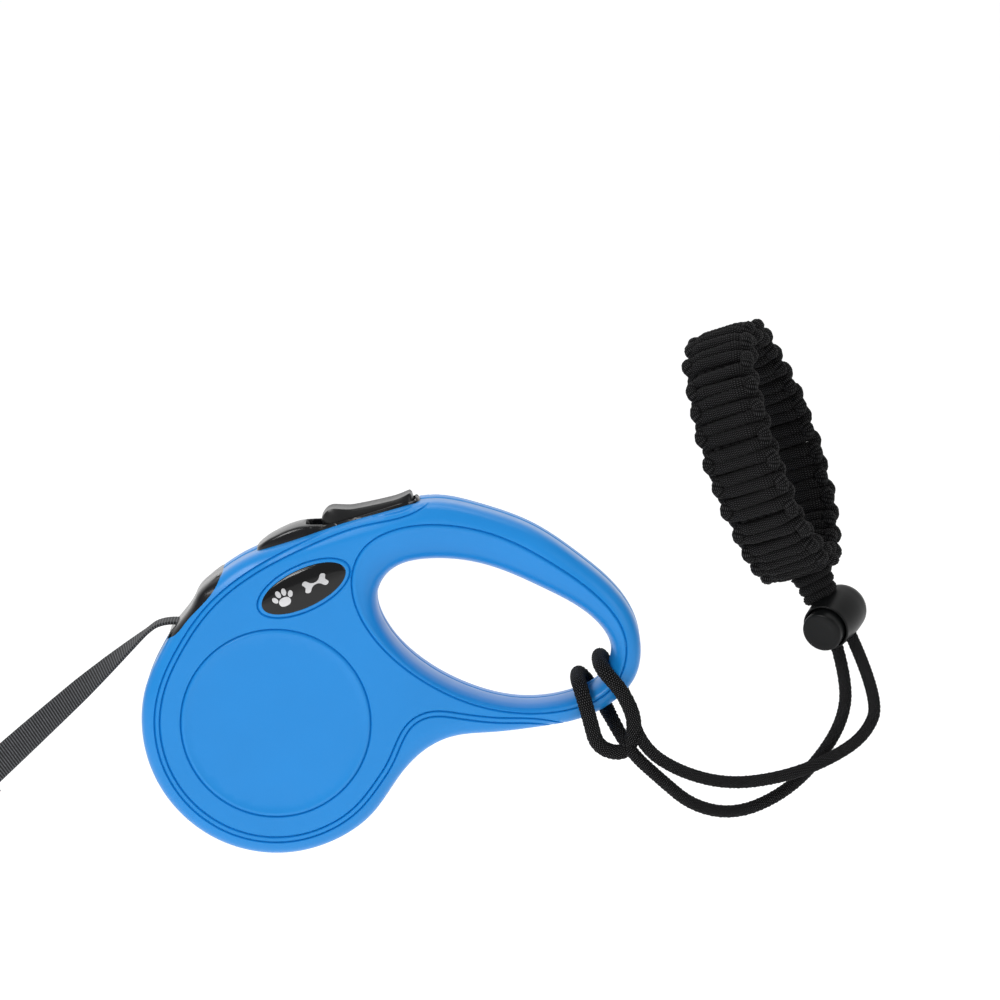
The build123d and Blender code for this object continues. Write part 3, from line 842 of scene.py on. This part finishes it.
def make_nozzle(materials):
    """Gloss insert that the belt runs out of, flush with the housing at its seam."""
    lip_depth = 1.3
    loop = np.vstack([nozzle_lip, seam[::-1][1:-1]])
    normals = right_normals(nozzle_lip, False)
    shifts = [lip_depth * (1 - math.cos(math.radians(angle))) for angle in range(20, 91, 14)]
    rings = [nozzle_lip + normals * shift for shift in shifts]
    flat, triangles = triangulate(loop, [], rings, ring_points()[:9], 1.1)
    share = np.clip(1 - distance(flat, nozzle_lip, False) / lip_depth, 0, 1)
    near_seam = np.clip(distance(flat, seam, False) / 2.5, 0, 1)
    to_edge = (1 - near_seam) * distance(flat, outline) + near_seam * distance(flat, nozzle_lip, False)
    height = side_height(flat, to_edge) - lip_depth * near_seam * (1 - np.sqrt(1 - share**2))
    verts, faces = relief(flat, triangles, height, [lambda h: 0.4 * h, lambda h: -0.4 * h, lambda h: -h])
    obj = add_mesh("nozzle_body", *upright(verts, faces, -1), materials["black_gloss"])
    own(obj, "housing", "black_gloss", "tape_nozzle")
    slot_half_width = 5.7
    side = [
        (-20, 28.6), (-30, 29.9), (-36.5, 28.4), (-46, 20), (-46, 36), (-36, 33.6), (-31, 32.9),
        (-20, 32.4),
    ]
    n = len(side)
    verts = np.array([(x, y, z) for y in (-slot_half_width, slot_half_width) for x, z in side])
    faces = [tuple(range(n)), tuple(range(2 * n - 1, n - 1, -1))]
    faces += [(i, i + n, (i + 1) % n + n, (i + 1) % n) for i in range(n)]
    cut_out(obj, add_mesh("slot_cutter", verts, faces, None, 180))


def cut_out(obj, cutter):
    """Takes the cutter's shape out of a piece and removes the cutter."""
    step = obj.modifiers.new("cut", "BOOLEAN")
    step.operation = "DIFFERENCE"
    step.object = cutter
    step.solver = "EXACT"
    step.use_self = False
    graph = bpy.context.evaluated_depsgraph_get()
    mesh = bpy.data.meshes.new_from_object(obj.evaluated_get(graph))
    obj.modifiers.remove(step)
    old = obj.data
    obj.data = mesh
    bpy.data.meshes.remove(old)
    bpy.data.objects.remove(cutter)
    obj.data.set_sharp_from_angle(angle=math.radians(EDGE_ANGLE))


def badge_dome(points):
    """Height of the badge's domed face at points in its own axes."""
    rise, base = 1.5, BODY_HALF - 0.15
    share = np.clip((points[:, 0] / BADGE["a"])**2 + (points[:, 1] / BADGE["b"])**2, 0, 1)
    return base + rise * np.sqrt(1 - share)


def on_badge(verts):
    """From the badge's own axes to the housing's."""
    c, s = math.cos(math.radians(BADGE["tilt"])), math.sin(math.radians(BADGE["tilt"]))
    u, v, h = verts.T
    return np.column_stack([BADGE["x"] + u * c - v * s, BADGE["z"] + u * s + v * c, h])


def mark_outlines():
    """A plain paw print and a bone."""
    pads = [ellipse(-7.2, -1.15, 2.0, 1.45, 0, 28, 2.3)]
    for x, y, a, b, tilt in (
        (-9.9, 0.5, 0.78, 1.12, 28), (-8.2, 1.85, 0.8, 1.2, 10), (-6.2, 1.85, 0.8, 1.2, -10),
        (-4.5, 0.5, 0.78, 1.12, -28),
    ):
        pads.append(ellipse(x, y, a, b, tilt, 22))
    bone = [
        (-0.9, 0.0), (-1.5, 1.3), (-0.3, 2.0), (0.9, 0.95), (4.3, 0.95), (5.5, 2.0), (6.7, 1.3),
        (6.1, 0.0), (6.7, -1.3), (5.5, -2.0), (4.3, -0.95), (0.9, -0.95), (-0.3, -2.0), (-1.5, -1.3),
    ]
    pads.append(smooth_curve([(x + 1.6, y) for x, y in bone], 0.35))
    return pads


def make_badges(materials):
    a, b = BADGE["a"], BADGE["b"]
    loop = ellipse(0, 0, a, b, count=130)
    rings = [loop * share for share in (0.995, 0.985, 0.965, 0.93, 0.88, 0.8)]
    flat, triangles = triangulate(loop, [], [], rings, 0.9)
    for side, name in ((-1, "left"), (1, "right")):
        back = [lambda h: np.full_like(h, BODY_HALF - 0.6)]
        verts, faces = relief(flat, triangles, badge_dome(flat), back)
        verts, faces = upright(on_badge(verts), faces, side)
        obj = add_mesh(f"{name}_badge_dome", verts, faces, materials["emblem"])
        own(obj, "housing", "emblem", f"{name}_badge")
        pieces = []
        for mark in mark_outlines():
            inner = mark * 0.96 + mark.mean(0) * 0.04
            mark_flat, mark_triangles = triangulate(mark, [], [], [inner], 0.5)
            top = badge_dome(mark_flat) + 0.05
            verts, faces = relief(mark_flat, mark_triangles, top, [lambda h: h - 0.15])
            pieces.append(upright(on_badge(verts), faces, side))
        verts, faces = join(*pieces)
        obj = add_mesh(f"{name}_badge_mark", verts, faces, materials["emblem_print"])
        own(obj, "housing", "emblem")


# ---- bezel and button ----
def rounded_box(low_x, high_x, half, power, count=120):
    middle = (low_x + high_x) / 2
    return ellipse(middle, 0, (high_x - low_x) / 2, half, 0, count, power)


def edge_rings(loop, radius, inward):
    """Rings that follow a rounded edge of a given radius beside a loop."""
    normals = right_normals(loop) * (-1 if inward else 1)
    return [loop + normals * radius * (1 - math.cos(math.radians(a))) for a in range(15, 91, 15)]


def edge_drop(points, loop, radius):
    share = np.clip(1 - distance(points, loop) / radius, 0, 1)
    return radius * (1 - np.sqrt(1 - share**2))


def make_bezel(materials):
    outer = rounded_box(-38.0, 17.0, 8.5, 4.0, 200)
    window = rounded_box(-20.4, 15.8, 6.65, 7.0, 150)

    def top(points):
        x = np.array([-38.0, -34.0, -29.5, -25.3, -21.5, -17.5, -13.0, 0.0, 10.0, 17.0])
        z = np.array([0.6, 2.5, 3.5, 4.1, 4.0, 2.9, 1.5, 1.25, 1.2, 1.1])
        line = np.interp(points[:, 0], x, z)
        for shift in (-1.6, -0.8, 0.8, 1.6):
            line = line + np.interp(points[:, 0] + shift, x, z)
        crown = 1 - 0.14 * (points[:, 1] / 8.5)**2
        height = line / 5 * crown
        return height - edge_drop(points, outer, 1.1) * 0.9 - edge_drop(points, window, 0.45)

    rings = edge_rings(outer, 1.1, True) + edge_rings(window, 0.45, False)
    flat, triangles = triangulate(outer, [window], [], rings, 0.9)
    verts, faces = relief(flat, triangles, top(flat), [lambda h: np.full_like(h, -1.2)])
    obj = add_mesh("bezel_frame", lid(verts), faces, materials["black_gloss"])
    own(obj, "housing", "black_gloss", "button_bezel")


def make_button(materials):
    outer = rounded_box(-15.1, 15.2, 6.1, 7.0, 150)

    def top(points):
        x = np.array([-15.2, -13.4, -10.9, -8.4, -5.0, 0.0, 5.0, 10.0, 13.5, 15.2])
        z = np.array([3.2, 5.0, 5.7, 4.7, 3.5, 2.9, 2.45, 2.15, 2.5, 3.1])
        line = sum(np.interp(points[:, 0] + shift, x, z) for shift in (-1.2, -0.6, 0, 0.6, 1.2)) / 5
        dish = 0.35 * (points[:, 1] / 6.1)**2
        ribs = 0.16 * np.maximum(0, np.cos(points[:, 0] * 2 * math.pi / 2.2))**2
        ribs *= np.clip(1 - np.abs(points[:, 0] - 2.0) / 6.0, 0, 1)**0.3
        ribs *= np.clip(1.3 - np.abs(points[:, 1]) / 4.2, 0, 1)
        return line + dish + ribs - edge_drop(points, outer, 0.8)

    pocket_rings = [ellipse(SPRING_X, 0, radius, radius, count=60) for radius in (3.3, 3.6)]
    flat, triangles = triangulate(outer, [], pocket_rings, edge_rings(outer, 0.8, True), 0.42)
    in_pocket = np.hypot(flat[:, 0] - SPRING_X, flat[:, 1]) < 3.45
    pad = relief(flat, triangles, top(flat), [lambda h: np.where(in_pocket, 1.1, -0.3)])
    stem_low, stem_x = -6.85, -11.0
    stem = ellipse(stem_x, 0, 2.0, 2.5, 0, 32, 6.0)
    stem_flat, stem_triangles = triangulate(stem, [], [], [], 0.8)
    foot = stem_low + 0.15 * (stem_flat[:, 0] - stem_x + 2.0)
    stem_mesh = relief(stem_flat, stem_triangles, np.full(len(stem_flat), 0.2), [lambda h: foot])
    verts, faces = join(pad, stem_mesh)
    obj = add_mesh("thumb_button", lid(verts), faces, materials["button_soft"])
    own(obj, "button", "button_soft", "brake_button")


# ---- springs ----
def make_spring(material, name, body, place, radius, wire, turns, low, height, joint, keep):
    """A coil standing on low in a local frame. The joint and keep arguments are not used."""
    turn = np.linspace(0, 2 * math.pi * turns, 28 * turns + 1)
    rise = low + wire / 2 + (height - wire) * turn / turn[-1]
    path = place(np.column_stack([radius * np.cos(turn), radius * np.sin(turn), rise]))
    verts, faces, _ = tube(path, wire / 2, 12)
    obj = add_mesh(name + "_coil", verts, faces, material, 60)
    own(obj, body, "spring_steel", name)
    foot, head = to_row(place([(0, 0, low), (0, 0, low + height)]))
    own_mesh(obj)


def make_springs(materials):
    steel = materials["spring_steel"]
    on_slider = in_frame(lid([(SPRING_X, 0, 0)])[0], (0, 1, 0), lid_up)
    in_hook = in_frame(BELT_ROUTE[-1], (0, 1, 0), np.subtract(BELT_ROUTE[-1], BELT_ROUTE[-2]))
    in_lock = in_frame(LOCK_AT, (0, 0, 1), LOCK_AXIS)
    for row in (
        ("brake_spring", "lock_slide", on_slider, 2.7, 0.45, 4, -3.05, 4.0, "brake_press", 0.40),
        ("hook_spring", "hook", in_hook, 2.0, 0.5, 5, 33.6, 8.3, "bolt_pull", 0.32),
        ("cord_lock_spring", "housing", in_lock, 3.6, 0.5, 2, -5.9, 4.0, "cord_lock_press", 0.24),
    ):
        make_spring(steel, *row)


# ---- belt ----
def belt_twist(x):
    """Turn of the belt, in degrees, from where it is along the housing's length."""
    places = np.array([-94.7, -89.1, -76.0, -63.5, -54.9, -47.9, -42.0, 5.0])
    turns = np.array([68.0, 60.0, 47.0, 35.0, 22.0, 10.0, 0.0, 0.0])
    return np.interp(x, places, turns)


def make_belt(materials):
    guide = spline_points("belt_route", BELT_ROUTE, 24)
    line = resample(guide, 0.16)
    along = np.gradient(line, axis=0)
    along /= np.linalg.norm(along, axis=1)[:, None]
    normal = np.cross((0, 1, 0), along)
    normal /= np.linalg.norm(normal, axis=1)[:, None]
    twist = belt_twist(line[:, 0])
    for _ in range(30):
        twist[1:-1] = (twist[:-2] + 2 * twist[1:-1] + twist[2:]) / 4
    twist = np.radians(twist)[:, None]
    upward = np.where(normal[:, 2:3] < 0, -normal, normal)
    across = np.cos(twist) * np.array((0, 1, 0)) + np.sin(twist) * upward
    face = np.cross(along, across)
    lengths = lengths_along(line)
    half = TAPE_W / 2
    right = [0.2, 0.4, 0.6, 0.8, 0.86, 0.93, 0.985, 1]
    places = [-s for s in right[::-1]] + [0] + right
    section = [(s, 1) for s in places] + [(s, -1) for s in places[::-1]]
    verts, strand = [], []
    rib = np.cos(lengths * 2 * math.pi / RIB_PITCH)
    for s, top in section:
        border = abs(s) > 0.83
        thick = 0.40 + (0.10 if border else 0.09) - (0.28 if abs(s) > 0.99 else 0.0)
        swell = thick + (0.02 if border else 0.10) * rib * top
        edge = half * s * (1 + 0.006 * rib)
        verts.append(line + across * edge[:, None] + face * (top * swell)[:, None])
        strand.append(np.column_stack([lengths, np.full(len(line), half * s)]))
    count, around = len(line), len(section)
    verts = np.stack(verts, axis=1).reshape(-1, 3)
    strand = np.stack(strand, axis=1).reshape(-1, 2)
    obj = add_mesh("belt_web", verts, swept_faces(count, around), materials["belt_web"], 60)
    store_strand(obj, strand)
    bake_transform(obj)
    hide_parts("free_tape")


# ---- wrist cord ----
def braid(amount):
    """Raised picks of a braided sheath, in rows that cross."""
    def wave(along, turn):
        first = np.abs(np.sin(BRAID_STRANDS * turn + math.pi * along / BRAID_PITCH))
        second = np.abs(np.sin(BRAID_STRANDS * turn - math.pi * along / BRAID_PITCH))
        return amount * (2.2 * first * second - 0.9)
    return wave


def make_cord(materials):
    guide = spline_points("cord_route", CORD_ROUTE, 16)
    line = resample(guide, 0.36)
    lengths = lengths_along(line)
    share = lengths / lengths[-1]
    swell = 1 + 0.24 * np.clip((0.22 - np.abs(share - 0.49)) / 0.05, 0, 1)
    sheath = tube(line, CORD_R * 0.96 * swell, 44, wave=braid(0.16))
    obj = add_cords("wrist_cord", [sheath], materials["strap_black"], "strap_cord")


# ---- woven band ----
BAND_CENTRE = np.array([156.8, 0.0, 86.3])
BAND_DEPTH_DIR = unit((0.2567, 0.9648, 0.0575))
BAND_AXIS = unit((0.9081, -0.2611, 0.3273))
BAND_UP = np.cross(BAND_AXIS, BAND_DEPTH_DIR)
BAND_MID_DEPTH, BAND_MID_HEIGHT = 26.2, 38.2
BAND_BARS = 50
BAND_HALF_W = 10.3


def on_band(across, outward, share):
    """Places points of the flat knot pattern round the wrist."""
    turn = np.linspace(0, 2 * math.pi, 2001) - math.pi / 2
    flat = np.column_stack([BAND_MID_DEPTH * np.cos(turn), BAND_MID_HEIGHT * np.sin(turn)])
    lengths = lengths_along(flat)
    at = share * lengths[-1]
    u, v = np.interp(at, lengths, flat[:, 0]), np.interp(at, lengths, flat[:, 1])
    normal = np.column_stack([u / BAND_MID_DEPTH**2, v / BAND_MID_HEIGHT**2])
    normal /= np.linalg.norm(normal, axis=1)[:, None]
    u, v = u + normal[:, 0] * outward, v + normal[:, 1] * outward
    return BAND_CENTRE + BAND_DEPTH_DIR * u[:, None] + BAND_UP * v[:, None] + BAND_AXIS * across[:, None]


def make_band(materials):
    """Cobra weave: one cord crosses the outside at every bar and the other the inside, and each
    comes round the other at the edges. Core cords run through the middle."""
    tubes = []
    t = np.arange(0.0, BAND_BARS + 1e-6, 1 / 40.0)
    loose = np.random.default_rng(7).normal(0, 1, (3, BAND_BARS + 2))
    drift, swell, shift = (np.interp(t, np.arange(BAND_BARS + 2), row) for row in loose)
    for outside in (1, -1):
        cross = np.sin(math.pi * t)
        across = outside * (BAND_HALF_W + 0.5 * drift) * np.sign(cross) * np.abs(cross)**0.55
        lift = np.clip((1 - np.abs(cross)**2.6) * 1.25 - 0.2, 0, 1)
        outward = outside * (2.2 * lift - 1.75 * (1 - lift)) + 0.18 * swell
        along = t - 1.6 * np.sin(2 * math.pi * t) / (2 * math.pi) + 0.13 * shift
        path = resample(on_band(across, outward, along / BAND_BARS), 0.5)
        tubes.append(tube(path, 2.1, 24, wave=braid(0.14)))
    for offset in (-6.0, -3.0, 0.0, 3.0, 6.0):
        share = np.linspace(0.0, 1.0, 240)
        path = on_band(np.full(240, offset), np.zeros(240), share)
        tubes.append(tube(path, 1.85, 12))
    add_cords("woven_band", tubes, materials["cord_black"], "bracelet_weave")


def make_collar(materials):
    """Two cord ends that leave the band, bound together above the lock."""
    low, high = np.array((176.4, -1.8, 38.2)), np.array((172.4, -1.6, 48.0))
    axis = unit(high - low)
    side = unit(np.cross(axis, (0, 1, 0)))
    out = np.cross(axis, side)
    tubes = []
    for shift in (-1, 1):
        route = np.array([
            low - axis * 2.0 + side * 1.9 * shift, low + axis * 3.0 + side * 2.2 * shift,
            high - axis * 4 + side * 3.2 * shift, high + side * 5.4 * shift - out * 0.5,
        ])
        path = smooth_curve(route, 0.5, closed=False)
        tubes.append(tube(path, 2.1, 20, wave=braid(0.10)))
    turns, rise = 2.7, 8.6
    t = np.linspace(0, 2 * math.pi * turns, 220)
    spread = 1 + 0.22 * t / t[-1]
    ring = (np.cos(t)[:, None] * side * 4.1 + np.sin(t)[:, None] * out * 3.3) * spread[:, None]
    path = low + axis * 1.6 + ring + axis * (t / t[-1] * rise)[:, None]
    tubes.append(tube(path, 1.75, 20, wave=braid(0.10)))
    add_cords("band_tie", tubes, materials["cord_black"], "bracelet_collar")


# ---- cord lock ----
def arc(centre_r, centre_z, radius, start, stop, steps=8):
    return [
        (centre_r + radius * math.cos(math.radians(a)), centre_z + radius * math.sin(math.radians(a)))
        for a in np.linspace(start, stop, steps)
    ]


def make_lock(materials):
    place = in_frame(LOCK_AT, (0, 0, 1), LOCK_AXIS)
    outside = [(0, -9.6)] + arc(2.6, -4.0, 5.6, -88, 0, 14)
    outside += [(8.35, -2.0), (8.4, 0.0), (8.3, 3.0), (8.05, 6.5), (7.8, 9.0)]
    outside += arc(7.4, 9.5, 0.38, 0, 170, 7) + [(6.95, 9.2), (6.8, 8.6), (6.75, -6.0), (0, -6.0)]
    verts, faces = lathe(outside)
    obj = add_mesh("lock_barrel", place(verts), faces, materials["black_matte"], 50)
    own(obj, "housing", "black_matte", "cord_lock_body")
    plunger = [(0, -1.85), (4.3, -1.85), (4.3, -2.8), (6.3, -2.8), (6.55, -2.4), (6.6, 12.2)]
    plunger += arc(5.6, 12.8, 1.0, 0, 90, 8) + [(4.6, 13.86), (4.3, 13.72), (0, 13.55)]
    verts, faces = lathe(plunger)
    obj = add_mesh("lock_plunger", place(verts), faces, materials["black_matte"], 50)
    own(obj, "plunger", "black_matte", "cord_lock_plunger")


# ---- making ----
make_camera()
make_stage()
materials = make_materials()
finish_cad_nodes(materials)
make_belt(materials)
make_cord(materials)
make_shells(materials)
make_nozzle(materials)
make_badges(materials)
make_bezel(materials)
make_button(materials)
make_band(materials)
make_collar(materials)
make_lock(materials)
make_springs(materials)
